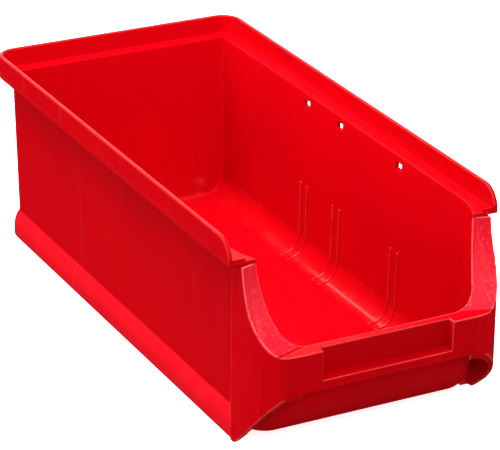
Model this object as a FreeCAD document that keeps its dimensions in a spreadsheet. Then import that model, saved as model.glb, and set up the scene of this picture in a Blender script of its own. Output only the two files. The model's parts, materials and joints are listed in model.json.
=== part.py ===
import FreeCAD, Part
import math
import os
import Sketcher

# Open-fronted parts bin, injection moulded in one piece.
# +X is the bin's right side, +Y its back (the hanging side), +Z up.
# The origin is the middle of the footprint, on the plane that the foot rails stand on.
# The moulding is kept as named regions that meet face to face: tray, rim, foot rails, front.

doc = FreeCAD.newDocument("PartsBin")
sheet = doc.addObject("Spreadsheet::Sheet", "Sizes")

driving_sizes = [
    # outside
    ("bin_length", 215.0),
    ("bin_width", 102.0),
    ("bin_height", 75.0),
    # tray
    ("tray_wall", 1.6),
    ("floor_thickness", 1.6),
    ("floor_clearance", 0.6),
    ("wall_draft_angle", 1.0),
    ("rear_round", 1.5),
    ("floor_round", 7.5),
    ("taper_start", 24.2),
    ("taper_angle", 24.5),
    ("taper_bend", 23.4),
    # front wall and its rounded nose
    ("front_lean_angle", 8.0),
    ("nose_outer_round", 22.0),
    ("nose_inner_round", 20.0),
    ("lip_height", 38.2),
    ("lip_wall", 3.1),
    # rim and stacking ledge
    ("rim_wall", 1.6),
    ("rim_depth", 7.4),
    ("rim_corner", 8.0),
    ("rim_front_round", 8.0),
    ("rim_setback", 16.8),
    ("ledge_thickness", 1.6),
    ("side_ledge", 5.0),
    ("rear_ledge", 4.9),
    ("stop_length", 5.0),
    ("stop_rise", 1.2),
    # hanging lip under the rear ledge
    ("hanger_drop", 6.0),
    ("hanger_inset", 10.0),
    ("hanger_wall", 1.6),
    # foot rails
    ("rail_proud", 1.1),
    ("rail_corner", 4.7),
    ("rail_height", 13.0),
    ("rail_depth", 4.5),
    ("rail_sole_round", 2.6),
    ("rail_sole_inset", 0.9),
    ("rail_sole_rise", 2.4),
    ("rail_face_top", 4.2),
    ("rail_shoulder_height", 10.0),
    ("rail_shoulder_inset", 1.3),
    ("rail_root_inset", 2.5),
    ("rail_shoulder_round", 13.0),
    ("rail_root_round", 5.0),
    # wings beside the label holder
    ("wing_wall", 1.6),
    ("wing_corner", 13.0),
    ("wing_blend", 3.0),
    ("wing_flat", 2.1),
    ("wing_arch_start", 20.5),
    ("wing_arch_round", 72.0),
    # scooped hand opening
    ("scoop_round", 39.5),
    ("scoop_ahead", 24.5),
    ("scoop_centre_height", 70.0),
    ("scoop_skew_angle", 19.8),
    ("scoop_strip", 1.6),
    # label holder
    ("label_depth", 2.9),
    ("label_height", 14.0),
    ("label_frame_width", 7.4),
    ("label_shelf_height", 3.2),
    # divider ribs and catch holes
    ("rib_proud", 0.7),
    ("rib_width", 1.0),
    ("rib_pitch", 5.0),
    ("rib_top", 31.5),
    ("rib_floor_run", 0.6),
    ("catch_hole_length", 4.4),
    ("catch_hole_height", 2.8),
    ("catch_hole_drop", 2.4),
    ("divider_rear", 32.2),
    ("divider_middle", 7.2),
    ("divider_front", -35.5),
    # where the tray's regions meet, clear of the taper's bend and of the floor's round
    ("bend_margin", 3.0),
    ("round_margin", 0.2),
    # how far the cutting shapes run past what they cut
    ("cut_margin", 12.0),
]

for row, (alias, value) in enumerate(driving_sizes, start=1):
    sheet.set("A%d" % row, alias)
    sheet.set("B%d" % row, str(value))
    sheet.setAlias("B%d" % row, alias)
doc.recompute()


class Size:
    """A length or an angle: its number, and the sheet expression that gives it."""

    def __init__(self, value, text):
        self.value = value
        self.text = text

    def joined(self, sign, other, value):
        return Size(value, "(%s %s %s)" % (self.text, sign, as_size(other).text))

    def __add__(self, other):
        return self.joined("+", other, self.value + as_size(other).value)

    def __sub__(self, other):
        return self.joined("-", other, self.value - as_size(other).value)

    def __mul__(self, other):
        return self.joined("*", other, self.value * as_size(other).value)

    def __truediv__(self, other):
        return self.joined("/", other, self.value / as_size(other).value)

    def __neg__(self):
        return Size(-self.value, "(-1 * %s)" % self.text)


def as_size(number):
    if isinstance(number, Size):
        return number
    return Size(float(number), "(%.6f)" % number)


def named(alias):
    return Size(float(sheet.get(alias)), "Sizes.%s" % alias)


def tan(angle):
    return Size(math.tan(math.radians(angle.value)), "tan(%s)" % angle.text)


def cos(angle):
    return Size(math.cos(math.radians(angle.value)), "cos(%s)" % angle.text)


def sin(angle):
    return Size(math.sin(math.radians(angle.value)), "sin(%s)" % angle.text)


def root(size):
    return Size(math.sqrt(size.value), "sqrt(%s)" % size.text)


def bind(item, prop, size):
    item.setExpression(prop, as_size(size).text)


def new_body(name):
    body = doc.addObject("PartDesign::Body", name)
    body.Label = name
    return body


def outline(body, role, name, corners, arcs=None, lift=None):
    """A closed sketch on one of the body's origin planes.

    Every corner is dimensioned from the origin. arcs maps a corner's number to the radius of
    the arc that leaves it: positive when it turns to the left on its way, negative to the right.
    lift is the sketch's height above its plane.
    """
    arcs = arcs or {}
    sketch = body.newObject("Sketcher::SketchObject", name)
    plane = [item for item in body.Origin.OriginFeatures if item.Role == role][0]
    sketch.AttachmentSupport = [(plane, "")]
    sketch.MapMode = "FlatFace"
    if lift is not None:
        bind(sketch, "AttachmentOffset.Base.z", lift)
    places = [FreeCAD.Vector(as_size(x).value, as_size(y).value, 0) for x, y in corners]
    ends = []
    for number, start in enumerate(places):
        finish = places[(number + 1) % len(places)]
        if number in arcs:
            ends.append(add_arc(sketch, start, finish, arcs[number]))
        else:
            sketch.addGeometry(Part.LineSegment(start, finish))
            ends.append((1, 2))
    for number, (x, y) in enumerate(corners):
        first = ends[number][0]
        before = (number - 1) % len(corners)
        sketch.addConstraint(Sketcher.Constraint("Coincident", before, ends[before][1], number, first))
        for kind, size in (("DistanceX", as_size(x)), ("DistanceY", as_size(y))):
            place = sketch.addConstraint(Sketcher.Constraint(kind, -1, 1, number, first, size.value))
            bind(sketch, "Constraints[%d]" % place, size)
        if number in arcs:
            size = arcs[number] if arcs[number].value > 0 else -arcs[number]
            place = sketch.addConstraint(Sketcher.Constraint("Radius", number, size.value))
            bind(sketch, "Constraints[%d]" % place, size)
    return sketch


def add_arc(sketch, start, finish, radius):
    """Adds the minor arc between two points and returns its vertex numbers at start and finish."""
    reach = abs(radius.value)
    chord = finish - start
    left = FreeCAD.Vector(-chord.y, chord.x, 0).normalize()
    sagitta_leg = math.sqrt(reach ** 2 - (chord.Length / 2) ** 2)
    turn_left = radius.value > 0
    centre = (start + finish) * 0.5 + left * (sagitta_leg if turn_left else -sagitta_leg)
    first, last = (start, finish) if turn_left else (finish, start)
    begin = math.atan2(first.y - centre.y, first.x - centre.x)
    end = math.atan2(last.y - centre.y, last.x - centre.x)
    circle = Part.Circle(centre, FreeCAD.Vector(0, 0, 1), reach)
    sketch.addGeometry(Part.ArcOfCircle(circle, begin, end))
    return (1, 2) if turn_left else (2, 1)


def pad(body, name, profile, length, taper=None, both_ways=False, down=False):
    feature = body.newObject("PartDesign::Pad", name)
    feature.Profile = profile
    bind(feature, "Length", length)
    feature.SideType = "Symmetric" if both_ways else "One side"
    feature.Reversed = down
    if taper is not None:
        bind(feature, "TaperAngle", -taper)
    doc.recompute()
    return feature


def pocket(body, name, profile, length):
    feature = body.newObject("PartDesign::Pocket", name)
    feature.Profile = profile
    bind(feature, "Length", length)
    feature.SideType = "Symmetric"
    doc.recompute()
    return feature


def fillet(body, name, base, radius, chosen):
    """Rounds the base feature's edges for which chosen(first end, last end, middle) is true."""
    names = []
    for number, edge in enumerate(base.Shape.Edges, start=1):
        ends = [vertex.Point for vertex in edge.Vertexes]
        middle = edge.valueAt((edge.FirstParameter + edge.LastParameter) / 2)
        if len(ends) == 2 and chosen(ends[0], ends[1], middle):
            names.append("Edge%d" % number)
    feature = body.newObject("PartDesign::Fillet", name)
    feature.Base = (base, names)
    bind(feature, "Radius", radius)
    doc.recompute()
    return feature


def box(name, x_range, y_range, z_range):
    item = doc.addObject("Part::Box", name)
    for side, axis, (low, high) in (
        ("Length", "x", x_range), ("Width", "y", y_range), ("Height", "z", z_range)
    ):
        bind(item, side, as_size(high) - low)
        bind(item, "Placement.Base.%s" % axis, low)
    return item


def less(name, base, *tools):
    """The base with every tool cut away."""
    for number, tool in enumerate(tools, start=1):
        item = doc.addObject("Part::Cut", name if number == len(tools) else "%s_cut%d" % (name, number))
        item.Base = base
        item.Tool = tool
        base = item
    return base


def common(name, base, tool):
    item = doc.addObject("Part::Common", name)
    item.Base = base
    item.Tool = tool
    return item


def together(name, items):
    item = doc.addObject("Part::Compound", name)
    item.Links = items
    return item


nodes = []


def node(item, name):
    item.Label = name
    nodes.append(item)
    return item


def region(name, source, x_range, y_range, z_range):
    """One named region of a larger solid, between six flat faces."""
    window = box(name + "_window", x_range, y_range, z_range)
    return node(common(name, source, window), name)


sides = (("left", -1), ("right", 1))


def side_range(side, inner, outer):
    """The X range from inner to outer on one side of the middle plane."""
    return (inner, outer) if side > 0 else (-outer, -inner)


# Main planes of the bin.
half_length = named("bin_length") / 2
half_width = named("bin_width") / 2
bin_height = named("bin_height")
rim_inner_x = half_width - named("rim_wall")
rim_inner_y = half_length - named("rim_wall")
rim_front = named("rim_setback") - half_length
ledge_top = bin_height - named("rim_depth")
ledge_under = ledge_top - named("ledge_thickness")
cavity_x = rim_inner_x - named("side_ledge")
cavity_y = rim_inner_y - named("rear_ledge")
tray_x = cavity_x + named("tray_wall")
tray_y = cavity_y + named("tray_wall")
floor_under = named("floor_clearance")
floor_top = floor_under + named("floor_thickness")
taper_y = named("taper_start") - half_length
front_y = named("label_depth") - half_length
lip_height = named("lip_height")
label_bottom = lip_height - named("label_height")
wing_x = tray_x + named("rail_proud")
front_x = wing_x - named("wing_corner") - named("wing_flat")
past = named("cut_margin")
deep_cut = named("bin_width") * 2


def tray_block(name, side_x, back_y, bend_y, under, front, nose_round, bend, base_round, rear_round):
    """A drafted block with the tray's plan, its rounded nose and its rounded lower and rear edges."""
    body = new_body(name)
    ahead = half_length + past
    inset = (bend_y + ahead) * tan(named("taper_angle"))
    plan = outline(body, "XY_Plane", name + "_plan", [
        (-side_x, back_y), (-side_x, bend_y), (inset - side_x, -ahead),
        (side_x - inset, -ahead), (side_x, bend_y), (side_x, back_y),
    ], lift=ledge_top)
    height = ledge_top - under
    block = pad(body, name + "_block", plan, height, taper=named("wall_draft_angle"), down=True)

    # The front wall leans back to the floor and turns into it along the nose.
    lean = tan(named("front_lean_angle"))
    above = ledge_top + past
    beneath = under - past
    profile = outline(body, "YZ_Plane", name + "_front_profile", [
        (front + (lip_height - beneath) * lean, beneath), (front + (lip_height - above) * lean, above),
        (-ahead - past, above), (-ahead - past, beneath),
    ])
    fronted = pocket(body, name + "_front", profile, deep_cut)

    bottom = under.value
    tall = height.value / 2
    bent = fillet(body, name + "_bends", fronted, bend,
                  lambda a, b, m: abs(a.z - b.z) > tall and front.value + tall / 4 < m.y < 0)

    def cross_line(a, b):
        return abs(a.y - b.y) < 0.01

    nosed = fillet(body, name + "_nose", bent, nose_round,
                   lambda a, b, m: cross_line(a, b) and m.y < 0 and m.z < bottom + 0.01)

    def lower_edge(a, b, m):
        on_floor = min(a.z, b.z) < bottom + 0.01 and abs(a.z - b.z) < tall
        return on_floor and not cross_line(a, b)

    lowered = fillet(body, name + "_lower_round", nosed, base_round, lower_edge)

    # The flat rear wall meets the sides and the floor in one small round.
    rear_foot = (back_y - height * tan(named("wall_draft_angle"))).value

    def rear_edge(a, b, m):
        return min(a.y, b.y) > rear_foot - 0.01 and min(a.z, b.z) < ledge_top.value - 0.01

    fillet(body, name + "_rear_round", lowered, rear_round, rear_edge)
    return body


tray_outer = tray_block(
    "tray_outer", tray_x, tray_y, taper_y, floor_under, front_y, named("nose_outer_round"),
    named("taper_bend") + named("tray_wall"), named("floor_round") + named("tray_wall"),
    named("rear_round") + named("tray_wall"))
inner_taper_y = taper_y + named("tray_wall") * tan(named("taper_angle") / 2)
tray_inner = tray_block(
    "tray_inner", cavity_x, cavity_y, inner_taper_y, floor_top, front_y + named("lip_wall"),
    named("nose_inner_round"), named("taper_bend"), named("floor_round"), named("rear_round"))


# The scooped hand opening: a hollow curve seen from the side, drawn back towards the middle.
skew = tan(named("scoop_skew_angle"))


def scoop_cutter(name, radius, lowest):
    centre_y = skew * wing_x - half_length - named("scoop_ahead")
    centre_z = named("scoop_centre_height")
    above = bin_height + past
    ahead = -half_length - named("bin_width")
    drop = centre_z - lowest
    body = new_body(name + "_profile")
    profile = outline(body, "YZ_Plane", name + "_curve", [
        (centre_y + radius, centre_z), (centre_y + root(radius * radius - drop * drop), lowest),
        (ahead, lowest), (ahead, above), (centre_y + radius, above),
    ], arcs={0: -radius})
    halves = []
    for side_name, side in sides:
        half = doc.addObject("Part::Extrusion", "%s_%s" % (name, side_name))
        half.Base = profile
        half.DirMode = "Custom"
        half.Dir = FreeCAD.Vector(side, 0, 0)
        bind(half, "Dir.y", -skew)
        bind(half, "LengthFwd", named("bin_width"))
        half.Solid = True
        halves.append(half)
    return halves


scoop = scoop_cutter("scoop", named("scoop_round"), lip_height)
strip_under = scoop_cutter("strip_under", named("scoop_round") + named("scoop_strip"),
                           lip_height - named("scoop_strip"))

# Catch windows for dividers, through both side walls just below the ledge.
catch_z = ledge_under - named("catch_hole_drop")
half_catch_y = named("catch_hole_length") / 2
half_catch_z = named("catch_hole_height") / 2
divider_rows = [named("divider_rear"), named("divider_middle"), named("divider_front")]
catch_holes = [
    box("catch_hole%d" % number, (-half_width, half_width), (row_y - half_catch_y, row_y + half_catch_y),
        (catch_z - half_catch_z, catch_z + half_catch_z))
    for number, row_y in enumerate(divider_rows, start=1)
]

shell = less("tray_shell", tray_outer, tray_inner, scoop[0], scoop[1], *catch_holes)

# Tray regions: flat floor, rounded lower corners, walls, upright corners and the front.
draft_run = (ledge_top - floor_under) * tan(named("wall_draft_angle"))
lower_span = draft_run + named("floor_round") + named("round_margin")
flat_x = cavity_x - lower_span
flat_back = cavity_y - lower_span
flat_front = inner_taper_y + named("bend_margin")
round_top = floor_top + named("floor_round") + named("round_margin")
outer_x = half_width + past
outer_y = half_length + past
nose_top = floor_under + named("nose_outer_round")
below = -past

region("floor_panel", shell, (-flat_x, flat_x), (flat_front, flat_back), (below, round_top))
region("rear_wall", shell, (-flat_x, flat_x), (flat_back, outer_y), (round_top, ledge_under))
region("lower_corner_rear", shell, (-flat_x, flat_x), (flat_back, outer_y), (below, round_top))
region("front_nose", shell, (-front_x, front_x), (-outer_y, flat_front), (below, nose_top))
region("front_wall", shell, (-front_x, front_x), (-outer_y, flat_front), (nose_top, ledge_under))
for side_name, side in sides:
    outside = side_range(side, flat_x, outer_x)
    flank = side_range(side, front_x, outer_x)
    region("lower_corner_" + side_name, shell, outside, (flat_front, flat_back), (below, round_top))
    region("side_wall_" + side_name, shell, outside, (flat_front, flat_back), (round_top, ledge_under))
    region("rear_corner_" + side_name, shell, outside, (flat_back, outer_y), (below, ledge_under))
    region("front_haunch_" + side_name, shell, flank, (-outer_y, flat_front), (below, nose_top))
    region("front_cheek_" + side_name, shell, flank, (-outer_y, flat_front), (nose_top, ledge_under))


# Stacking ledge: a flat shelf between the tray and the rim wall, with a stop ramp at each front end.
def rim_block(name, side_x, back_y, front, corner, low, high):
    body = new_body(name)
    plan = outline(body, "XY_Plane", name + "_plan", [
        (-side_x, back_y), (-side_x, front), (side_x, front), (side_x, back_y),
    ], lift=low)
    block = pad(body, name + "_block", plan, high - low)
    tall = (high - low).value / 2
    fillet(body, name + "_corners", block, corner,
           lambda a, b, m: abs(a.z - b.z) > tall and m.y > 0)
    return body


inner_corner = named("rim_corner") - named("rim_wall")
ledge_block = rim_block("ledge_block", rim_inner_x, rim_inner_y, rim_front, inner_corner,
                        ledge_under, ledge_top)
ledge = less("ledge", ledge_block, tray_inner)
ledge_split = cavity_y - lower_span
above_rim = bin_height + past
region("ledge_rear", ledge, (-outer_x, outer_x), (ledge_split, outer_y), (below, above_rim))
for side_name, side in sides:
    outside = side_range(side, as_size(0), outer_x)
    region("ledge_" + side_name, ledge, outside, (-outer_y, ledge_split), (below, above_rim))

stop_body = new_body("stop_ramp")
stop_profile = outline(stop_body, "YZ_Plane", "stop_profile", [
    (rim_front, ledge_top), (rim_front + named("stop_length"), ledge_top),
    (rim_front, ledge_top + named("stop_rise")),
])
pad(stop_body, "stop_block", stop_profile, rim_inner_x * 2, both_ways=True)
cavity_above = box("cavity_above", (-cavity_x, cavity_x), (-outer_y, outer_y), (ledge_top, above_rim))
stops = less("stops", stop_body, cavity_above)
for side_name, side in sides:
    outside = side_range(side, as_size(0), outer_x)
    region("stack_stop_" + side_name, stops, outside, (-outer_y, outer_y), (below, above_rim))

# Rim wall: an upright band outside the ledge, closed at the back, rounded at its front ends.
rim_solid = rim_block("rim_solid", half_width, half_length, rim_front, named("rim_corner"),
                      ledge_under, bin_height)
rim_opening = rim_block("rim_opening", rim_inner_x, rim_inner_y, rim_front - past, inner_corner,
                        below, above_rim)
nose_body = new_body("rim_front_cutter")
nose_profile = outline(nose_body, "YZ_Plane", "rim_front_profile", [
    (rim_front, bin_height - named("rim_front_round")),
    (rim_front + named("rim_front_round"), bin_height),
    (rim_front + named("rim_front_round"), above_rim), (rim_front - past, above_rim),
    (rim_front - past, bin_height - named("rim_front_round")),
], arcs={0: -named("rim_front_round")})
pad(nose_body, "rim_front_block", nose_profile, deep_cut, both_ways=True)
rim = less("rim", rim_solid, rim_opening, nose_body)
corner_x = half_width - named("rim_corner")
corner_y = half_length - named("rim_corner")
region("rim_wall_rear", rim, (-corner_x, corner_x), (corner_y, outer_y), (below, above_rim))
for side_name, side in sides:
    outside = side_range(side, as_size(0), outer_x)
    corner = side_range(side, corner_x, outer_x)
    region("rim_wall_" + side_name, rim, outside, (-outer_y, corner_y), (below, above_rim))
    region("rim_corner_" + side_name, rim, corner, (corner_y, outer_y), (below, above_rim))

# Hanging lip: turns down from the rear rim and hooks over a louvre or a rail.
hanger_x = tray_x - named("hanger_inset")
node(box("hanging_lip", (-hanger_x, hanger_x), (half_length - named("hanger_wall"), half_length),
         (ledge_under - named("hanger_drop"), ledge_under)), "hanging_lip")

# Foot rails: a flared skirt round the sides and the back that sits on the ledge of the bin below.
rail_x = wing_x
rail_y = tray_y + named("rail_proud")
rail_front = named("wing_arch_start") - half_length + named("wing_blend") * 2 / 3
rail_centre_x = rail_x - named("rail_corner")
rail_centre_y = rail_y - named("rail_corner")


def rail_profile(name, role, face, side, lift):
    """The skirt's section: flat sole, rounded foot, upright face, sloping shoulder, hollow root."""
    body = new_body(name)
    section = [
        (named("rail_depth"), as_size(0)),
        (named("rail_sole_inset"), as_size(0)),
        (as_size(0), named("rail_sole_rise")),
        (as_size(0), named("rail_face_top")),
        (named("rail_shoulder_inset"), named("rail_shoulder_height")),
        (named("rail_root_inset"), named("rail_height")),
        (named("rail_depth"), named("rail_height")),
    ]
    corners = [((face - inset) * side, height) for inset, height in section]
    return outline(body, role, name + "_section", corners, lift=lift, arcs={
        1: named("rail_sole_round") * side, 3: named("rail_shoulder_round") * side,
        4: named("rail_root_round") * -side,
    })


def extruded(name, profile, direction, length):
    item = doc.addObject("Part::Extrusion", name)
    item.Base = profile
    item.DirMode = "Custom"
    item.Dir = FreeCAD.Vector(*direction)
    bind(item, "LengthFwd", length)
    item.Solid = True
    return item


rear_profile = rail_profile("rail_rear", "YZ_Plane", rail_y, 1, -rail_centre_x)
rear_run = extruded("rail_rear_run", rear_profile, (1, 0, 0), rail_centre_x * 2)
node(less("foot_rail_rear", rear_run, tray_outer), "foot_rail_rear")
rails = {}
for side_name, side in sides:
    profile = rail_profile("rail_" + side_name, "XZ_Plane", rail_x, side, -rail_centre_y)
    run = extruded("rail_run_" + side_name, profile, (0, -1, 0), rail_centre_y - rail_front)
    rails[side] = node(less("foot_rail_" + side_name, run, tray_outer), "foot_rail_" + side_name)
    turn = doc.addObject("Part::Revolution", "rail_turn_" + side_name)
    turn.Source = profile
    turn.Axis = FreeCAD.Vector(0, 0, side)
    bind(turn, "Base.x", rail_centre_x * side)
    bind(turn, "Base.y", rail_centre_y)
    turn.Angle = 90
    turn.Solid = True
    node(less("foot_corner_" + side_name, turn, tray_outer), "foot_corner_" + side_name)

# Wings: thin outer skins beside the label holder, open below, with an arched lower edge.
wing_bend_y = named("wing_corner") - half_length
crease_y = rail_front
bend_x = wing_x - named("wing_corner")
skin = named("wing_wall")
arch_body = new_body("wing_arch")
arch_start = named("wing_arch_start")
arch_profile = outline(arch_body, "YZ_Plane", "wing_arch_profile", [
    (arch_start - half_length, as_size(0)), (-half_length, label_bottom),
    (-half_length - past, label_bottom), (-half_length - past, below),
    (arch_start - half_length, below),
], arcs={0: -named("wing_arch_round")})
pad(arch_body, "wing_arch_block", arch_profile, deep_cut, both_ways=True)


def wing_plan(name, side, skinned):
    """The wing seen from above: its full footprint, or only its skin."""
    round_out = named("wing_corner") * -side
    outer = [
        (tray_x - skin, crease_y + named("wing_blend")), (wing_x, crease_y), (wing_x, wing_bend_y),
        (bend_x, -half_length), (front_x, -half_length),
    ]
    arcs = {2: round_out}
    if skinned:
        round_in = (named("wing_corner") - skin) * side
        inner = [
            (front_x, skin - half_length), (bend_x, skin - half_length), (wing_x - skin, wing_bend_y),
            (wing_x - skin, crease_y - skin / 2), (tray_x - skin * 2, crease_y + named("wing_blend")),
        ]
        arcs[6] = round_in
    else:
        inner = [(front_x, crease_y)]
    body = new_body(name)
    corners = [(x * side, y) for x, y in outer + inner]
    plan = outline(body, "XY_Plane", name + "_plan", corners, arcs=arcs)
    pad(body, name + "_block", plan, ledge_under)
    return body


for side_name, side in sides:
    skin_block = wing_plan("wing_skin_" + side_name, side, True)
    footprint = wing_plan("wing_footprint_" + side_name, side, False)
    under_strip = strip_under[0 if side < 0 else 1]
    above_strip = scoop[0 if side < 0 else 1]
    wing = less("wing_" + side_name, skin_block, tray_outer, rails[side], under_strip, arch_body)
    node(wing, "wing_" + side_name)
    strip_band = common("strip_band_" + side_name, footprint, under_strip)
    strip = less("scoop_strip_" + side_name, strip_band, tray_outer, above_strip)
    node(strip, "scoop_strip_" + side_name)

# Label holder: a shallow frame on the front wall, open at the top, with a shelf for the card.
slot_x = front_x - named("label_frame_width")
shelf_top = label_bottom + named("label_shelf_height")


def label_block(name, x_range, top):
    blank = box(name + "_blank", x_range, (-half_length, wing_bend_y), (label_bottom, top))
    return node(less(name, blank, tray_outer), name)


label_block("label_shelf", (-slot_x, slot_x), shelf_top)
for side_name, side in sides:
    label_block("label_frame_" + side_name, side_range(side, slot_x, front_x), lip_height)

# Divider ribs: three pairs on each side wall that run down and round onto the floor.
rib_inner_x = cavity_x - draft_run - named("rib_proud")
rib_round = named("floor_round") - named("rib_proud")
rib_end_x = rib_inner_x - rib_round - named("rib_floor_run")
rib_floor = floor_top + named("rib_proud")
rib_top = named("rib_top")
rib_top_x = cavity_x - (ledge_top - rib_top) * tan(named("wall_draft_angle")) - named("rib_proud")
rib_slots = []
for number, row_y in enumerate(divider_rows, start=1):
    for mark, way in (("a", -0.5), ("b", 0.5)):
        middle = row_y + named("rib_pitch") * way
        rib_slots.append(box("rib_slot%d%s" % (number, mark), (-outer_x, outer_x),
                             (middle - named("rib_width") / 2, middle + named("rib_width") / 2),
                             (below, rib_top)))
rib_comb = together("rib_comb", rib_slots)
for side_name, side in sides:
    body = new_body("rib_band_" + side_name)
    profile = outline(body, "XZ_Plane", "rib_section_" + side_name, [
        (rib_end_x * side, below), (rib_end_x * side, rib_floor),
        ((rib_inner_x - rib_round) * side, rib_floor), (rib_inner_x * side, rib_floor + rib_round),
        (rib_top_x * side, rib_top), (tray_x * side, rib_top), (tray_x * side, below),
    ], arcs={2: rib_round * side})
    pad(body, "rib_block_" + side_name, profile, named("bin_length"), both_ways=True)
    inside = common("rib_inside_" + side_name, body, tray_inner)
    node(common("divider_ribs_" + side_name, inside, rib_comb), "divider_ribs_" + side_name)

doc.recompute()

# Every object must have been built, and every region must be a valid solid, before any is written.
broken = [item.Name for item in doc.Objects if "Invalid" in item.State or "Error" in item.State]
if broken:
    raise RuntimeError("not built: %s" % ", ".join(broken))
for item in nodes:
    if item.Shape.isNull() or not item.Shape.isValid() or item.Shape.Volume <= 0:
        raise RuntimeError("bad shape: %s" % item.Label)

os.makedirs("parts", exist_ok=True)
for item in nodes:
    item.Shape.exportStep(os.path.join("parts", item.Label + ".step"))
    print("%s %.1f mm3, %d solids" % (item.Label, item.Shape.Volume, len(item.Shape.Solids)))
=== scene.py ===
import bpy
import json
import math
from mathutils import Matrix, Vector

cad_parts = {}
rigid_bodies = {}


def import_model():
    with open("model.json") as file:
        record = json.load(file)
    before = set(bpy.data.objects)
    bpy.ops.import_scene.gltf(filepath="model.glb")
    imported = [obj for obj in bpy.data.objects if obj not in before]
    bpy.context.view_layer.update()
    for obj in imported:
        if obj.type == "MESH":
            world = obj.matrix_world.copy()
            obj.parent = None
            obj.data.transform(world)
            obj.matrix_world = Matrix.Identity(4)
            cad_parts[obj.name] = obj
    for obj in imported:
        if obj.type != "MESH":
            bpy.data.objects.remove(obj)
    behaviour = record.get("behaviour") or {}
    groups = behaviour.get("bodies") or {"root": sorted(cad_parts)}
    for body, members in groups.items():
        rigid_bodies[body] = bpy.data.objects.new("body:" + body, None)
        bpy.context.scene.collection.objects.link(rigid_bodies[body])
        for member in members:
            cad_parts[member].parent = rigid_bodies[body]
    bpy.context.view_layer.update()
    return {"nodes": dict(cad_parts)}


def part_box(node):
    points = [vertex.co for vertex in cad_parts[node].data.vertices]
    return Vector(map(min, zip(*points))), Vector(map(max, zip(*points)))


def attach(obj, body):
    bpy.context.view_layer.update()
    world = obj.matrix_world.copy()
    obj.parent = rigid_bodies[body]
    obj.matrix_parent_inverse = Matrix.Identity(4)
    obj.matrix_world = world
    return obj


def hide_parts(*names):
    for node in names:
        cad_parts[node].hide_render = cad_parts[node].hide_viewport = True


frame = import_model()
print("frame loaded:", len(frame["nodes"]), "nodes")


def nodeBox(name):
    low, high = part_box(name)  # metres; the modelling below is in millimetres
    return Vector(low) * 1000, Vector(high) * 1000


rimLow, rimHigh = nodeBox("rim_wall_right")
rearRimLow, rearRimHigh = nodeBox("rim_wall_rear")
ledgeLow, ledgeHigh = nodeBox("ledge_right")
labelLow, labelHigh = nodeBox("label_frame_right")
railLow, railHigh = nodeBox("foot_rail_right")
hangerLow, hangerHigh = nodeBox("hanging_lip")
stopHigh = nodeBox("stack_stop_right")[1]
noseTop = nodeBox("front_wall")[0].z
regionBack = nodeBox("floor_panel")[0].y
shelfTop = nodeBox("label_shelf")[1].z

traySizes = {"wall": 1.6, "sideLedge": 5.0, "rearLedge": 4.9, "draftAngle": 1.0, "floorTop": 2.2}
wall = traySizes["wall"]
halfWidth = rimHigh.x
halfLength = rearRimHigh.y
binTop = rimHigh.z
rimInnerX = rimLow.x
rimInnerY = rearRimLow.y
rimFront = rimLow.y
ledgeTop = ledgeHigh.z
ledgeUnder = ledgeLow.z
cavityX = rimInnerX - traySizes["sideLedge"]
cavityY = rimInnerY - traySizes["rearLedge"]
trayX = cavityX + wall
lipTop = labelHigh.z
labelBottom = labelLow.z
draft = math.radians(traySizes["draftAngle"])
near = 0.01  # corners this close to a plane lie on it
print("bin %.1f x %.1f x %.1f mm" % (halfLength * 2, halfWidth * 2, binTop))

# How far cutting blocks and unfinished ends run past what they shape, in millimetres
toolReach = {"side": 60, "front": -130, "openFront": -140, "back": -60, "rear": 120, "above": 20, "below": 5,
             "sweep": 70}


# Modelling helpers
def deselectAll():
    if bpy.context.object and bpy.context.object.mode == "EDIT":
        bpy.ops.object.mode_set(mode="OBJECT")
    bpy.ops.object.select_all(action="DESELECT")


def activate(piece):
    deselectAll()
    piece.select_set(True)
    bpy.context.view_layer.objects.active = piece


def block(name, low, high):
    deselectAll()
    low, high = Vector(low), Vector(high)
    bpy.ops.mesh.primitive_cube_add(size=1, location=(low + high) / 2)
    piece = bpy.context.object
    piece.name = name
    piece.scale = high - low
    bpy.ops.object.transform_apply(location=True, rotation=True, scale=True)
    return piece


def sliceOff(piece, point, normal):
    # drops what lies beyond the plane, on the side its normal points to, and closes the cut
    activate(piece)
    bpy.ops.object.mode_set(mode="EDIT")
    bpy.ops.mesh.select_all(action="SELECT")
    bpy.ops.mesh.bisect(plane_co=point, plane_no=normal, use_fill=True, clear_outer=True, threshold=0.0005)
    bpy.ops.object.mode_set(mode="OBJECT")


def pickEdges(piece, test):
    activate(piece)
    bpy.ops.object.mode_set(mode="EDIT")
    bpy.ops.mesh.select_mode(type="EDGE")
    bpy.ops.mesh.select_all(action="DESELECT")
    bpy.ops.object.mode_set(mode="OBJECT")
    points = [vertex.co.copy() for vertex in piece.data.vertices]
    for edge in piece.data.edges:
        first, last = points[edge.vertices[0]], points[edge.vertices[1]]
        if test(first, last, (first + last) / 2):
            edge.select = True


def roundEdges(piece, test, width, segments):
    pickEdges(piece, test)
    bpy.ops.object.mode_set(mode="EDIT")
    bpy.ops.mesh.bevel(offset=width, offset_type="OFFSET", segments=segments, profile=0.5, affect="EDGES",
                       clamp_overlap=False)
    bpy.ops.object.mode_set(mode="OBJECT")


def combine(piece, tool, operation, keepTool=False):
    activate(piece)
    modifier = piece.modifiers.new("combine", "BOOLEAN")
    modifier.operation = operation
    modifier.solver = "EXACT"
    modifier.object = tool
    bpy.ops.object.modifier_apply(modifier=modifier.name)
    if not keepTool:
        bpy.data.objects.remove(tool, do_unlink=True)


def join(piece, tool):
    combine(piece, tool, "UNION")


def cut(piece, tool, keepTool=False):
    combine(piece, tool, "DIFFERENCE", keepTool)


def keepInside(piece, tool, keepTool=False):
    combine(piece, tool, "INTERSECT", keepTool)


def copyOf(piece, name):
    twin = piece.copy()
    twin.data = piece.data.copy()
    twin.name = name
    bpy.context.collection.objects.link(twin)
    return twin


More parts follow.
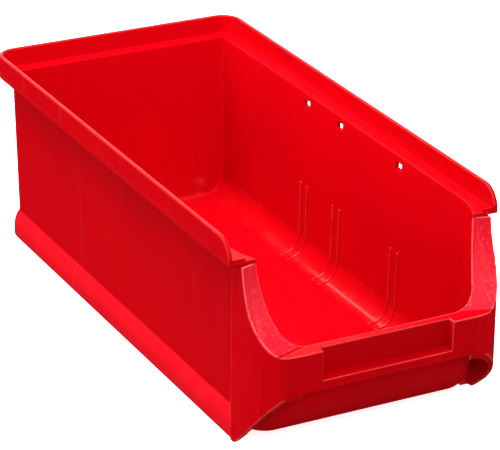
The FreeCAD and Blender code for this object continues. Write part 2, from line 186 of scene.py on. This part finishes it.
def cleaned(piece, distance=0.002, angle=0.02):
    # merges corners closer than distance millimetres and faces within angle degrees of flat
    activate(piece)
    bpy.ops.object.mode_set(mode="EDIT")
    bpy.ops.mesh.select_all(action="SELECT")
    bpy.ops.mesh.remove_doubles(threshold=distance)
    bpy.ops.mesh.dissolve_limited(angle_limit=math.radians(angle))
    bpy.ops.object.mode_set(mode="OBJECT")


# sharp: least angle of an edge to round; lengthShare and narrowShare: shares of the rounding's width
softShape = {"sharp": 35, "lengthShare": 1.1, "narrowShare": 0.75}


def softened(piece, width, segments, test=None):
    # rounds every sharp edge that passes the test
    normals = {}
    for face in piece.data.polygons:
        for key in face.edge_keys:
            normals.setdefault(key, []).append(face.normal.copy())
    pickEdges(piece, lambda a, b, m: False)
    points = [vertex.co.copy() for vertex in piece.data.vertices]
    for edge in piece.data.edges:
        sides = normals[edge.key]
        if len(sides) == 2 and sides[0].angle(sides[1]) > math.radians(softShape["sharp"]):
            first, last = (points[number] for number in edge.vertices)
            longEnough = (last - first).length > width * softShape["lengthShare"]
            edge.select = longEnough and (test is None or test(first, last))
    bpy.ops.object.mode_set(mode="EDIT")
    bpy.ops.mesh.bevel(offset=width, offset_type="OFFSET", segments=segments, profile=0.5, affect="EDGES",
                       clamp_overlap=False, loop_slide=False)
    bpy.ops.object.mode_set(mode="OBJECT")
    # the rounding's narrow faces on outer edges are marked, because the materials paint them paler there: a
    # painted edge highlight, with some light wear
    points = [vertex.co.copy() for vertex in piece.data.vertices]
    paleWearAndHighlight = piece.data.attributes.new("edgeWearAndHighlight", "FLOAT", "FACE")
    beside = {}
    for face in piece.data.polygons:
        for key in face.edge_keys:
            beside.setdefault(key, []).append(face)
    for face in piece.data.polygons:
        longest = max((points[first] - points[last]).length for first, last in face.edge_keys)
        narrow = face.select and face.area / longest < width * softShape["narrowShare"]
        others = [other for key in face.edge_keys for other in beside[key] if other != face]
        around = [other.center - face.center for other in others]
        hollow = sum(face.normal.dot(way) for way in around) > 0
        paleWearAndHighlight.data[face.index].value = float(narrow and not hollow)


smoothAngle = 32


def finished(piece, name, slotName, *stands):
    activate(piece)
    piece.name = name
    piece.data.name = name
    piece.scale = (0.001, 0.001, 0.001)
    bpy.ops.object.transform_apply(scale=True)
    bpy.ops.object.shade_smooth_by_angle(angle=math.radians(smoothAngle))
    modifier = piece.modifiers.new("evenShade", "WEIGHTED_NORMAL")
    modifier.keep_sharp = True
    bpy.ops.object.modifier_apply(modifier=modifier.name)
    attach(piece, "root")
    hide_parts(*stands)
    print("finished:", name, len(piece.data.polygons), "faces")


def tell(piece, stage):
    uses = {}
    for face in piece.data.polygons:
        for key in face.edge_keys:
            uses[key] = uses.get(key, 0) + 1
    odd = sum(1 for count in uses.values() if count != 2)
    print(stage, len(piece.data.vertices), "vertices", len(piece.data.polygons), "faces", odd, "open edges")


# Front of the tray above its nose: tapered, leaning prisms
trayShape = {"taperStart": 24.2, "taperAngle": 24.5, "lean": 8.0, "labelDepth": 2.9, "lipWall": 3.1,
             "bendRound": 23.4, "frontRound": 7.5, "edge": 0.4, "steps": 12, "lap": 0.8, "upright": 9,
             "edgeSteps": 3, "bendNear": 4, "frontBefore": 8, "innerBack": -50}


def frontPrism(name, sideX, bendY, frontY, grow, low, high, shape, back=toolReach["back"]):
    taper = math.radians(shape["taperAngle"])
    lean = math.radians(shape["lean"])
    piece = block(name, (-toolReach["side"], toolReach["front"], low), (toolReach["side"], back, high))
    for side in (-1, 1):
        sliceOff(piece, (side * sideX, 0, ledgeTop), (side * math.cos(draft), 0, -math.sin(draft)))
        sliceOff(piece, (side * sideX, bendY, ledgeTop),
                 (side * math.cos(taper) * math.cos(draft), -math.sin(taper) * math.cos(draft),
                  -math.sin(draft)))
    sliceOff(piece, (0, frontY, lipTop), (0, -math.cos(lean), -math.sin(lean)))
    bend = (shape["bendRound"] + grow) * math.tan(taper / 2)
    roundEdges(piece, lambda a, b, m: abs(a.z - b.z) > shape["upright"]
               and abs(m.y - bendY) < shape["bendNear"], bend, shape["steps"])
    front = (shape["frontRound"] + grow) * math.tan((math.pi / 2 - taper) / 2)
    roundEdges(piece, lambda a, b, m: abs(a.z - b.z) > shape["upright"]
               and m.y < bendY - shape["frontBefore"], front, shape["steps"])
    return piece


taperY = trayShape["taperStart"] - halfLength
innerTaperY = taperY + wall * math.tan(math.radians(trayShape["taperAngle"] / 2))
frontY = trayShape["labelDepth"] - halfLength
lapTop = ledgeUnder + trayShape["lap"]
innerFrontY = frontY + trayShape["lipWall"]
front = frontPrism("front", trayX, taperY, frontY, wall, noseTop, lapTop, trayShape)
trayInner = frontPrism("trayInner", cavityX, innerTaperY, innerFrontY, 0, noseTop - toolReach["above"],
                       binTop + toolReach["above"], trayShape, back=trayShape["innerBack"])
trayOuter = frontPrism("trayOuter", trayX, taperY, frontY, wall, -toolReach["below"], noseTop, trayShape)
tell(front, "front prism")
tell(trayOuter, "outer prism")
tell(trayInner, "inner prism")

# Scooped hand opening: a skewed round cutter on each side
scoopShape = {"round": 39.5, "ahead": 24.5, "centreHeight": 70.0, "skewAngle": 19.8, "strip": 1.6,
              "overlap": 1.0, "skin": 0.8, "endAbove": 0.5, "vertices": 128}
wingX = railHigh.x
skew = math.tan(math.radians(scoopShape["skewAngle"]))


def scoopCutter(name, side, radius, lowest, shape):
    run = toolReach["sweep"]
    deselectAll()
    start = Vector((-side * shape["overlap"], side * skew * side * shape["overlap"], 0))
    centre = start + Vector((0, skew * wingX - halfLength - shape["ahead"], shape["centreHeight"]))
    bpy.ops.mesh.primitive_circle_add(vertices=shape["vertices"], radius=radius, fill_type="NGON",
                                      location=centre, rotation=(0, math.radians(90) * side, 0))
    piece = bpy.context.object
    piece.name = name
    bpy.ops.object.transform_apply(location=True, rotation=True, scale=True)
    bpy.ops.object.mode_set(mode="EDIT")
    bpy.ops.mesh.select_all(action="SELECT")
    bpy.ops.mesh.bisect(plane_co=(0, 0, lowest), plane_no=(0, 0, -1), clear_outer=True)
    bpy.ops.mesh.select_all(action="SELECT")
    bpy.ops.mesh.extrude_region_move(TRANSFORM_OT_translate={"value": (side * run, -skew * run, 0)})
    bpy.ops.mesh.select_all(action="SELECT")
    bpy.ops.mesh.normals_make_consistent(inside=False)
    bpy.ops.object.mode_set(mode="OBJECT")
    return piece


# Wings beside the label holder: skins open below, arched along their lower edge
wingShape = {"corner": 13.0, "blend": 3.0, "skin": 1.6, "archStart": 20.5, "archRound": 72.0, "steps": 12,
             "upright": 20, "drumSides": 256, "drumDepth": 140}
frontX = labelHigh.x
creaseY = railLow.y


def wingBlock(name, side, inX, outX, frontEdge, crease, blendEnd, corner, low, high):
    piece = block(name, (inX, frontEdge, low), (outX, blendEnd[1], high))
    along = Vector((blendEnd[0] - outX, blendEnd[1] - crease, 0))
    sliceOff(piece, (outX, crease, 0), (along.y, -along.x, 0))
    roundEdges(piece, lambda a, b, m: abs(a.z - b.z) > wingShape["upright"] and m.y < frontEdge + near
               and m.x > outX - near, corner, wingShape["steps"])
    if side < 0:
        activate(piece)
        piece.scale.x = -1
        bpy.ops.object.transform_apply(scale=True)
        bpy.ops.object.mode_set(mode="EDIT")
        bpy.ops.mesh.select_all(action="SELECT")
        bpy.ops.mesh.normals_make_consistent(inside=False)
        bpy.ops.object.mode_set(mode="OBJECT")
    return piece


def archDrum(name):
    # a drum whose lower front is the wings' arched edge
    first = Vector((0, wingShape["archStart"] - halfLength, 0))
    last = Vector((0, -halfLength, labelBottom))
    chord = last - first
    rise = math.sqrt(wingShape["archRound"] ** 2 - (chord.length / 2) ** 2)
    centre = (first + last) / 2 + Vector((0, chord.z, -chord.y)).normalized() * rise
    deselectAll()
    bpy.ops.mesh.primitive_cylinder_add(vertices=wingShape["drumSides"], radius=wingShape["archRound"],
                                        depth=wingShape["drumDepth"], location=centre,
                                        rotation=(0, math.radians(90), 0))
    piece = bpy.context.object
    piece.name = name
    bpy.ops.object.transform_apply(location=True, rotation=True, scale=True)
    return piece


for side in (-1, 1):
    skin = wingShape["skin"]
    blendY = creaseY + wingShape["blend"]
    full = wingBlock("wingFull", side, frontX, wingX, -halfLength, creaseY, (trayX - skin, blendY),
                     wingShape["corner"], 0, lapTop)
    keepInside(full, archDrum("archDrum"))
    hollow = wingBlock("wingHollow", side, frontX - 1, wingX - skin, skin - halfLength, creaseY - skin / 2,
                       (trayX - skin * 2, blendY), wingShape["corner"] - skin, -toolReach["below"], binTop)
    cut(hollow, scoopCutter("stripUnder", side, scoopShape["round"] + scoopShape["strip"],
                            lipTop - scoopShape["strip"], scoopShape))
    cut(full, hollow)
    cut(full, trayOuter, keepTool=True)
    join(front, full)
    tell(front, "wing %+d" % side)

# Label holder
labelShape = {"depth": 9, "over": 5}
label = block("label", (-frontX, -halfLength, labelBottom),
              (frontX, -halfLength + labelShape["depth"], lipTop + labelShape["over"]))
cut(label, block("recess", (-labelLow.x, -halfLength - labelShape["over"], shelfTop),
                 (labelLow.x, 0, binTop)))
join(front, label)
cut(front, trayInner, keepTool=True)
for side in (-1, 1):
    cut(front, scoopCutter("scoop", side, scoopShape["round"], lipTop, scoopShape))
tell(front, "front cut")
cleaned(front)
tell(front, "front cleaned")

seamShape = {"skinNear": 0.03, "backY": -60.1, "topAbove": 0.7}


def fromScoopAxis(point):
    axisY = skew * wingX - halfLength - scoopShape["ahead"] - skew * abs(point.x)
    return math.hypot(point.y - axisY, point.z - scoopShape["centreHeight"])


def onSeam(point):
    # where this piece meets another: those edges stay sharp and their faces flush
    skinRadius = scoopShape["round"] + scoopShape["skin"]
    fromSkin = fromScoopAxis(point) - skinRadius
    atEnd = abs(point.z - lipTop - scoopShape["endAbove"]) < near
    if abs(fromSkin) < seamShape["skinNear"] or atEnd and fromSkin < seamShape["skinNear"]:
        return True
    aboveSeam = point.z > ledgeUnder + seamShape["topAbove"]
    return abs(point.z - noseTop) < near or point.y > seamShape["backY"] or aboveSeam


# Grained strips along the scoop: the front's skin there, as pieces of their own
strips = []
for side in (-1, 1):
    skinCutter = scoopCutter("skinCutter", side, scoopShape["round"] + scoopShape["skin"],
                             lipTop + scoopShape["endAbove"], scoopShape)
    strip = copyOf(front, "strip")
    keepInside(strip, skinCutter, keepTool=True)
    cut(front, skinCutter)
    strips.append(strip)
for piece in [front] + strips:
    tell(piece, "parted")
    softened(piece, trayShape["edge"], trayShape["edgeSteps"], lambda a, b: not (onSeam(a) and onSeam(b)))
    tell(piece, "softened")
    if piece == front:
        sliceOff(piece, (0, regionBack, 0), (0, 1, 0))
    sliceOff(piece, (0, 0, ledgeUnder), (0, 0, 1))
    for vertex in piece.data.vertices:  # a few rounded corners end a hair proud of the CAD box
        vertex.co.x = max(-wingX, min(wingX, vertex.co.x))
        vertex.co.y = max(-halfLength, vertex.co.y)
    tell(piece, "trimmed")
bpy.data.objects.remove(trayInner, do_unlink=True)
bpy.data.objects.remove(trayOuter, do_unlink=True)
finished(front, "frontPanel", "red", "front_wall", "front_cheek_left", "front_cheek_right", "wing_left",
         "wing_right", "label_shelf", "label_frame_left", "label_frame_right")
for strip, sideName in zip(strips, ("left", "right")):
    finished(strip, "scoopStrip" + sideName.capitalize(), "matte_red", "scoop_strip_" + sideName)

# Rim wall and stacking ledge
rimShape = {"corner": 8.0, "frontRound": 8.0, "edge": 0.5, "cavityCorner": 1.5, "splitAbove": 1.0,
            "steps": 12, "upright": 5, "cavityUpright": 9, "rearFront": -62, "edgeSteps": 4, "inside": 1}
rim = block("rim", (-halfWidth, rimFront, ledgeUnder), (halfWidth, halfLength, binTop))
roundEdges(rim, lambda a, b, m: abs(a.z - b.z) > rimShape["upright"] and m.y > 0, rimShape["corner"],
           rimShape["steps"])
roundEdges(rim, lambda a, b, m: min(a.z, b.z) > binTop - near and max(a.y, b.y) < rimFront + near,
           rimShape["frontRound"], rimShape["steps"])
cutTop = binTop + toolReach["above"]
cutLow = ledgeUnder - toolReach["below"]
opening = block("opening", (-rimInnerX, toolReach["openFront"], ledgeTop), (rimInnerX, rimInnerY, cutTop))
roundEdges(opening, lambda a, b, m: abs(a.z - b.z) > rimShape["upright"] and m.y > 0,
           rimShape["corner"] - wall, rimShape["steps"])
cut(rim, opening)
cavity = frontPrism("cavity", cavityX, innerTaperY, innerFrontY, 0, cutLow, cutTop, trayShape)
rear = block("rear", (-toolReach["side"], rimShape["rearFront"], cutLow),
             (toolReach["side"], toolReach["rear"], cutTop))
for side in (-1, 1):
    sliceOff(rear, (side * cavityX, 0, ledgeTop), (side * math.cos(draft), 0, -math.sin(draft)))
sliceOff(rear, (0, cavityY, ledgeTop), (0, math.cos(draft), -math.sin(draft)))
roundEdges(rear, lambda a, b, m: abs(a.z - b.z) > rimShape["cavityUpright"] and m.y > 0,
           rimShape["cavityCorner"], rimShape["steps"])
join(cavity, rear)
cut(rim, cavity)
cleaned(rim)
tell(rim, "rim cut")


def underLedge(first, last):
    # the ledge's lower inner edge lies on the wall below it and stays sharp
    middle = (first + last) / 2
    margin = rimShape["inside"]
    inside = abs(middle.x) < rimInnerX - margin and middle.y < rimInnerY - margin
    return max(first.z, last.z) < ledgeUnder + near and inside and middle.y > rimFront + near


softened(rim, rimShape["edge"], rimShape["edgeSteps"], lambda a, b: not underLedge(a, b))
tell(rim, "rim softened")
ledge = copyOf(rim, "ledge")
splitZ = ledgeTop + rimShape["splitAbove"]
sliceOff(ledge, (0, 0, splitZ), (0, 0, 1))
sliceOff(rim, (0, 0, splitZ), (0, 0, -1))
tell(rim, "rim alone")
tell(ledge, "ledge alone")
finished(rim, "rimBand", "red", "rim_wall_rear", "rim_wall_left", "rim_wall_right", "rim_corner_left",
         "rim_corner_right")
finished(ledge, "stackingLedge", "red", "ledge_rear", "ledge_left", "ledge_right")

# Stop ramps at the ledge's front ends
rampShape = {"inset": 0.3, "sunk": 0.4, "edge": 0.35, "edgeSteps": 3, "frontGap": 0.2}
for side, sideName in ((-1, "left"), (1, "right")):
    inner = cavityX + rampShape["inset"]
    ramp = block("ramp", (min(side * inner, side * rimInnerX), rimFront + rampShape["frontGap"],
                          ledgeTop - rampShape["sunk"]),
                 (max(side * inner, side * rimInnerX), stopHigh.y, stopHigh.z))
    sliceOff(ramp, (0, rimFront, stopHigh.z), (0, stopHigh.z - ledgeTop, stopHigh.y - rimFront))
    softened(ramp, rampShape["edge"], rampShape["edgeSteps"])
    finished(ramp, "stopRamp" + sideName.capitalize(), "red", "stack_stop_" + sideName)

# Hanging lip: hooks over a louvre or a rail
hangerShape = {"edge": 0.5, "edgeSteps": 3, "corner": 2.0, "cornerSteps": 6}
hanger = block("hanger", hangerLow, hangerHigh)
roundEdges(hanger, lambda a, b, m: abs(a.y - b.y) > 1 and m.z < hangerLow.z + near, hangerShape["corner"],
           hangerShape["cornerSteps"])
softened(hanger, hangerShape["edge"], hangerShape["edgeSteps"],
         lambda a, b: max(a.z, b.z) < hangerHigh.z - near or abs(a.z - b.z) > 1)
finished(hanger, "hangingLip", "red", "hanging_lip")

# Divider ribs: one is swept down the wall and round onto the floor, the rest are its copies
ribShape = {"width": 1.0, "proud": 0.6, "sunk": 0.4, "top": 31.5, "floorRun": 0.6, "floorRound": 7.5,
            "pitch": 5.0, "edge": 0.42, "rows": (32.2, 7.2, -35.5), "steps": 10,
            "edgeSteps": 4}
floorTop = traySizes["floorTop"]
ribCentreZ = floorTop + ribShape["floorRound"]
ribCentreX = cavityX - (ledgeTop - ribCentreZ) * math.tan(draft) - ribShape["floorRound"] / math.cos(draft)
ribDepth = ribShape["proud"] + ribShape["sunk"]
deselectAll()
bpy.ops.mesh.primitive_plane_add(size=1, rotation=(0, math.radians(90), 0),
                                 location=(ribCentreX - ribShape["floorRun"], 0,
                                           floorTop + ribShape["proud"] - ribDepth / 2))
rib = bpy.context.object
rib.scale = (ribDepth, ribShape["width"], 1)
bpy.ops.object.transform_apply(location=True, rotation=True, scale=True)
bpy.ops.object.mode_set(mode="EDIT")
bpy.ops.mesh.select_all(action="SELECT")
bpy.ops.mesh.extrude_region_move(TRANSFORM_OT_translate={"value": (ribShape["floorRun"], 0, 0)})
bpy.ops.mesh.spin(steps=ribShape["steps"], angle=math.radians(90) - draft,
                  center=(ribCentreX, 0, ribCentreZ), axis=(0, 1, 0))
rise = ribShape["top"] - ribCentreZ
bpy.ops.mesh.extrude_region_move(TRANSFORM_OT_translate={"value": (rise * math.tan(draft), 0, rise)})
bpy.ops.mesh.select_all(action="SELECT")
bpy.ops.mesh.remove_doubles(threshold=0.001)
bpy.ops.mesh.normals_make_consistent(inside=False)
bpy.ops.object.mode_set(mode="OBJECT")
tell(rib, "rib swept")
softened(rib, ribShape["edge"], ribShape["edgeSteps"])
for side, sideName in ((-1, "left"), (1, "right")):
    ribs = []
    for row in ribShape["rows"]:
        for way in (-0.5, 0.5):
            twin = copyOf(rib, "rib")
            twin.location.y = row + way * ribShape["pitch"]
            twin.scale.x = side
            ribs.append(twin)
    deselectAll()
    for twin in ribs:
        twin.select_set(True)
    bpy.context.view_layer.objects.active = ribs[0]
    bpy.ops.object.transform_apply(location=True, rotation=True, scale=True)
    bpy.ops.object.join()
    bpy.ops.object.mode_set(mode="EDIT")
    bpy.ops.mesh.select_all(action="SELECT")
    bpy.ops.mesh.normals_make_consistent(inside=False)
    bpy.ops.object.mode_set(mode="OBJECT")
    tell(ribs[0], "ribs")
    finished(ribs[0], "dividerRibs" + sideName.capitalize(), "red", "divider_ribs_" + sideName)
bpy.data.objects.remove(rib, do_unlink=True)

# Materials: moulded polypropylene, with sizes in metres
patternSizes = {"clouds": 0.045, "streaks": 0.0016, "edgeShineAndWear": 0.006, "gloss": 0.009}
patternLevels = {"clouds": (0.35, 0.65), "streaks": (0.6, 0.75), "specks": (0.58, 0.72), "edgeShineAndWear": (0.3, 0.6),
                 "gloss": (0.3, 0.7)}
blends = {"edgeShineAndWearLow": 0.55, "streakGloss": 0.1, "streakHeight": 0.15, "bumpHeight": 0.00003}
markShape = {"leftOf": -0.02, "core": 0.0001, "fade": 0.0003}
sheenTint = (1.0, 0.04, 0.08, 1)


def moulded(name, finish):
    made = bpy.data.materials.new(name)
    made.use_nodes = True
    nodes, links = made.node_tree.nodes, made.node_tree.links
    shader = nodes["Principled BSDF"]
    shader.inputs["Specular IOR Level"].default_value = finish["specular"]
    shader.inputs["Sheen Weight"].default_value = finish["sheen"]
    shader.inputs["Sheen Tint"].default_value = sheenTint
    coordinates = nodes.new("ShaderNodeTexCoord")

    def noise(size, stretch=(1, 1, 1), detail=3.0):
        # a noise pattern whose grains are about size metres wide, drawn out along the axes by stretch
        mapping = nodes.new("ShaderNodeMapping")
        mapping.inputs["Scale"].default_value = [1 / (size * longer) for longer in stretch]
        links.new(coordinates.outputs["Object"], mapping.inputs["Vector"])
        pattern = nodes.new("ShaderNodeTexNoise")
        pattern.inputs["Scale"].default_value = 1.0
        pattern.inputs["Detail"].default_value = detail
        links.new(mapping.outputs["Vector"], pattern.inputs["Vector"])
        return pattern.outputs["Fac"]

    def ramp(value, fromLow, fromHigh, toLow, toHigh):
        spread = nodes.new("ShaderNodeMapRange")
        spread.inputs["From Min"].default_value = fromLow
        spread.inputs["From Max"].default_value = fromHigh
        spread.inputs["To Min"].default_value = toLow
        spread.inputs["To Max"].default_value = toHigh
        links.new(value, spread.inputs["Value"])
        return spread.outputs["Result"]

    def maths(operation, first, second):
        worked = nodes.new("ShaderNodeMath")
        worked.operation = operation
        for socket, value in zip(worked.inputs, (first, second)):
            if isinstance(value, float):
                socket.default_value = value
            else:
                links.new(value, socket)
        return worked.outputs["Value"]

    def tint(amount, under, over):
        mix = nodes.new("ShaderNodeMix")
        mix.data_type = "RGBA"
        links.new(amount, mix.inputs["Factor"])
        for socket, colour in ((mix.inputs[6], under), (mix.inputs[7], over)):
            if isinstance(colour, tuple):
                socket.default_value = (*colour, 1)
            else:
                links.new(colour, socket)
        return mix.outputs[2]

    clouds = noise(patternSizes["clouds"])
    streaks = ramp(noise(patternSizes["streaks"], finish["streakRun"]), *patternLevels["streaks"], 0.0, 1.0)
    grain = noise(finish["grainSize"], detail=2.0)
    colour = tint(ramp(clouds, *patternLevels["clouds"], 0.0, 1.0), finish["colour"], finish["shade"])
    colour = tint(ramp(streaks, 0.0, 1.0, 0.0, finish["streakTint"]), colour, finish["paleWearAndHighlight"])
    speckles = noise(finish["speckSize"], detail=1.0)
    specks = ramp(speckles, *patternLevels["specks"], 0.0, finish["speckTint"])
    colour = tint(specks, colour, finish["paleWearAndHighlight"])
    # outer edges from the mask are painted paler: a painted highlight along the edges, broken up by noise as
    # light wear
    edgeShineAndWear = nodes.new("ShaderNodeAttribute")
    edgeShineAndWear.attribute_name = "edgeWearAndHighlight"
    most = finish["edgeTint"]
    broken = ramp(noise(patternSizes["edgeShineAndWear"]), *patternLevels["edgeShineAndWear"], most * blends["edgeShineAndWearLow"], most)
    colour = tint(maths("MULTIPLY", edgeShineAndWear.outputs["Fac"], broken), colour, finish["paleWearAndHighlight"])
    if finish["marks"]:
        place = nodes.new("ShaderNodeSeparateXYZ")
        links.new(coordinates.outputs["Object"], place.inputs["Vector"])
        leftHalf = maths("LESS_THAN", place.outputs["X"], markShape["leftOf"])
        for markY in finish["marks"]:
            away = maths("ABSOLUTE", maths("SUBTRACT", place.outputs["Y"], markY), 0.0)
            beyond = maths("MULTIPLY", ramp(away, markShape["core"], markShape["fade"], 0.0, 1.0), leftHalf)
            line = maths("SUBTRACT", leftHalf, beyond)
            colour = tint(maths("MULTIPLY", line, finish["markTint"]), colour, finish["paleWearAndHighlight"])
    links.new(colour, shader.inputs["Base Color"])
    low, high = finish["roughness"]
    gloss = ramp(noise(patternSizes["gloss"]), *patternLevels["gloss"], low, high)
    rough = maths("ADD", gloss, maths("MULTIPLY", streaks, blends["streakGloss"]))
    links.new(rough, shader.inputs["Roughness"])
    grainHeight = maths("MULTIPLY", grain, finish["grainDepth"])
    height = maths("ADD", grainHeight, maths("MULTIPLY", streaks, blends["streakHeight"]))
    bump = nodes.new("ShaderNodeBump")
    bump.inputs["Strength"].default_value = 1.0
    bump.inputs["Distance"].default_value = blends["bumpHeight"]
    links.new(height, bump.inputs["Height"])
    links.new(bump.outputs["Normal"], shader.inputs["Normal"])
    return made


# edgeTint sets how far the marked outer edges are painted towards the pale tint: a painted edge highlight
# with light wear; the same pale tint also colours the streaks, specks and marks
redFinish = {"colour": (0.50, 0.0003, 0.003), "shade": (0.475, 0.0003, 0.004), "paleWearAndHighlight": (0.56, 0.06, 0.055),
             "specular": 0.014, "roughness": (0.22, 0.34), "grainSize": 0.0005, "grainDepth": 0.6,
             "speckSize": 0.0011, "speckTint": 0.0, "streakRun": (1, 1, 22), "streakTint": 0.03,
             "edgeTint": 0.7, "sheen": 0.0, "marks": (), "markTint": 0.5}
wallFinish = {**redFinish, "roughness": (0.30, 0.42), "specular": 0.012, "marks": (0.0395,), "markTint": 0.15}
cornerFinish = {**redFinish, "roughness": (0.16, 0.26), "specular": 0.45, "grainDepth": 0.3}
# the rails are a lighter red than the body: painted light, a lit copy of the body's red that stands in for
# the light on their upward-tilted shoulders
railFinish = {**redFinish, "colour": (0.68, 0.001, 0.008), "shade": (0.65, 0.001, 0.009),
              "roughness": (0.28, 0.4), "specular": 0.2, "streakRun": (1, 22, 1), "marks": (0.0773, 0.0436)}
rimFinish = {**redFinish, "roughness": (0.2, 0.3), "specular": 0.035, "streakRun": (1, 22, 1),
             "edgeTint": 0.18, "marks": (0.0773, 0.0436), "markTint": 0.3}
ledgeFinish = {**rimFinish, "marks": (), "specular": 0.02, "roughness": (0.35, 0.45), "edgeTint": 0.08}
ribFinish = {**redFinish, "specular": 0.2, "edgeTint": 0.2}
# the grained strips are a paler red than the body: partly the grained skin's own whitened tone, partly
# painted light that stands in for the light they catch; their strong edge tint paints bright edge highlights
stripFinish = {**redFinish, "colour": (0.72, 0.0015, 0.016), "shade": (0.68, 0.004, 0.02),
               "paleWearAndHighlight": (0.85, 0.11, 0.10), "specular": 0.15, "roughness": (0.38, 0.5), "grainSize": 0.0008,
               "grainDepth": 3.0, "speckSize": 0.0012, "speckTint": 0.25, "streakRun": (1, 14, 14),
               "streakTint": 0.2, "sheen": 0.4, "edgeTint": 0.9}
glossyRed = moulded("glossyRed", redFinish)
wallRed = moulded("wallRed", wallFinish)
cornerRed = moulded("cornerRed", cornerFinish)
railRed = moulded("railRed", railFinish)
ribRed = moulded("ribRed", ribFinish)
rimRed = moulded("rimRed", rimFinish)
ledgeRed = moulded("ledgeRed", ledgeFinish)
grainedRed = moulded("grainedRed", stripFinish)


def lookOf(name):
    if name in frame["nodes"]:
        if name.startswith("lower_corner"):
            return cornerRed
        if name.startswith("foot_"):
            return railRed
        return wallRed if "wall" in name or "corner" in name else glossyRed
    if name in ("stackingLedge", "stopRampLeft", "stopRampRight"):
        return ledgeRed
    if name.startswith("scoopStrip"):
        return grainedRed
    if name.startswith("dividerRibs"):
        return ribRed
    return rimRed if name in ("rimBand", "hangingLip") else glossyRed


for piece in list(bpy.data.objects):
    if piece.type != "MESH":
        continue
    if piece.name in frame["nodes"]:
        for placed in piece.material_slots:
            placed.material = lookOf(piece.name)
    else:
        piece.data.materials.clear()
        piece.data.materials.append(lookOf(piece.name))
print("materials given")

# Camera, floor and soft light
cameraSetup = {"place": (-0.4101, -0.7915, 0.4298), "yaw": -27.615, "pitch": 23.86, "roll": 0.628,
               "lens": 194.25, "sensor": 36}
bpy.ops.object.camera_add(location=cameraSetup["place"])
camera = bpy.context.object
turn = Matrix.Rotation(math.radians(cameraSetup["yaw"]), 4, "Z")
turn = turn @ Matrix.Rotation(math.radians(90 - cameraSetup["pitch"]), 4, "X")
turn = turn @ Matrix.Rotation(math.radians(cameraSetup["roll"]), 4, "Z")
camera.rotation_euler = turn.to_euler()
camera.data.lens = cameraSetup["lens"]
camera.data.sensor_width = cameraSetup["sensor"]
bpy.context.scene.camera = camera

deselectAll()
floorSetup = {"size": 6, "colour": (0.9, 0.9, 0.9, 1), "roughness": 0.8, "glow": 0.8}
bpy.ops.mesh.primitive_plane_add(size=floorSetup["size"], location=(0, 0, 0))
floor = bpy.context.object
floor.name = "floor"
floor.visible_glossy = False
floor.visible_diffuse = False
floorPaint = bpy.data.materials.new("floorPaint")
floorPaint.use_nodes = True
floorShader = floorPaint.node_tree.nodes["Principled BSDF"]
floorShader.inputs["Base Color"].default_value = floorSetup["colour"]
floorShader.inputs["Roughness"].default_value = floorSetup["roughness"]
floorShader.inputs["Emission Color"].default_value = (1, 1, 1, 1)
floorShader.inputs["Emission Strength"].default_value = floorSetup["glow"]
floor.data.materials.append(floorPaint)


def softLight(name, place, target, size, power, spread):
    bpy.ops.object.light_add(type="AREA", location=place)
    lamp = bpy.context.object
    lamp.name = name
    lamp.data.size = size
    lamp.data.energy = power
    lamp.data.spread = math.radians(spread)
    lamp.rotation_euler = (Vector(target) - Vector(place)).to_track_quat("-Z", "Y").to_euler()


# name, place and target in metres, size in metres, power in watts, spread in degrees
lights = (
    ("topLight", (-0.1, 0.25, 0.8), (0, 0.03, 0.03), 0.7, 13.5, 180),
    ("backLight", (0.55, 1.2, 0.62), (0, 0, 0.05), 1.1, 10, 180),
    ("leftLight", (-1.1, 0.0, 0.34), (0, 0, 0.03), 0.35, 5.4, 180),
    ("frontLight", (-0.2, -1.0, 0.95), (0, 0, 0.03), 0.8, 7.5, 180),
    ("rightLight", (0.9, -0.3, 0.18), (0.05, -0.1, 0.03), 0.5, 2.2, 180),
    ("insideLight", (-0.12, -0.15, 0.5), (0.04, 0.09, 0.03), 0.12, 0.16, 50),
)
for light in lights:
    softLight(*light)
worldGlow = 0.58
world = bpy.data.worlds.new("studio")
bpy.context.scene.world = world
world.use_nodes = True
world.node_tree.nodes["Background"].inputs["Color"].default_value = (1, 1, 1, 1)
world.node_tree.nodes["Background"].inputs["Strength"].default_value = worldGlow
world.cycles_visibility.glossy = False
bpy.context.scene.view_settings.view_transform = "Standard"
print("camera, floor and lights set")
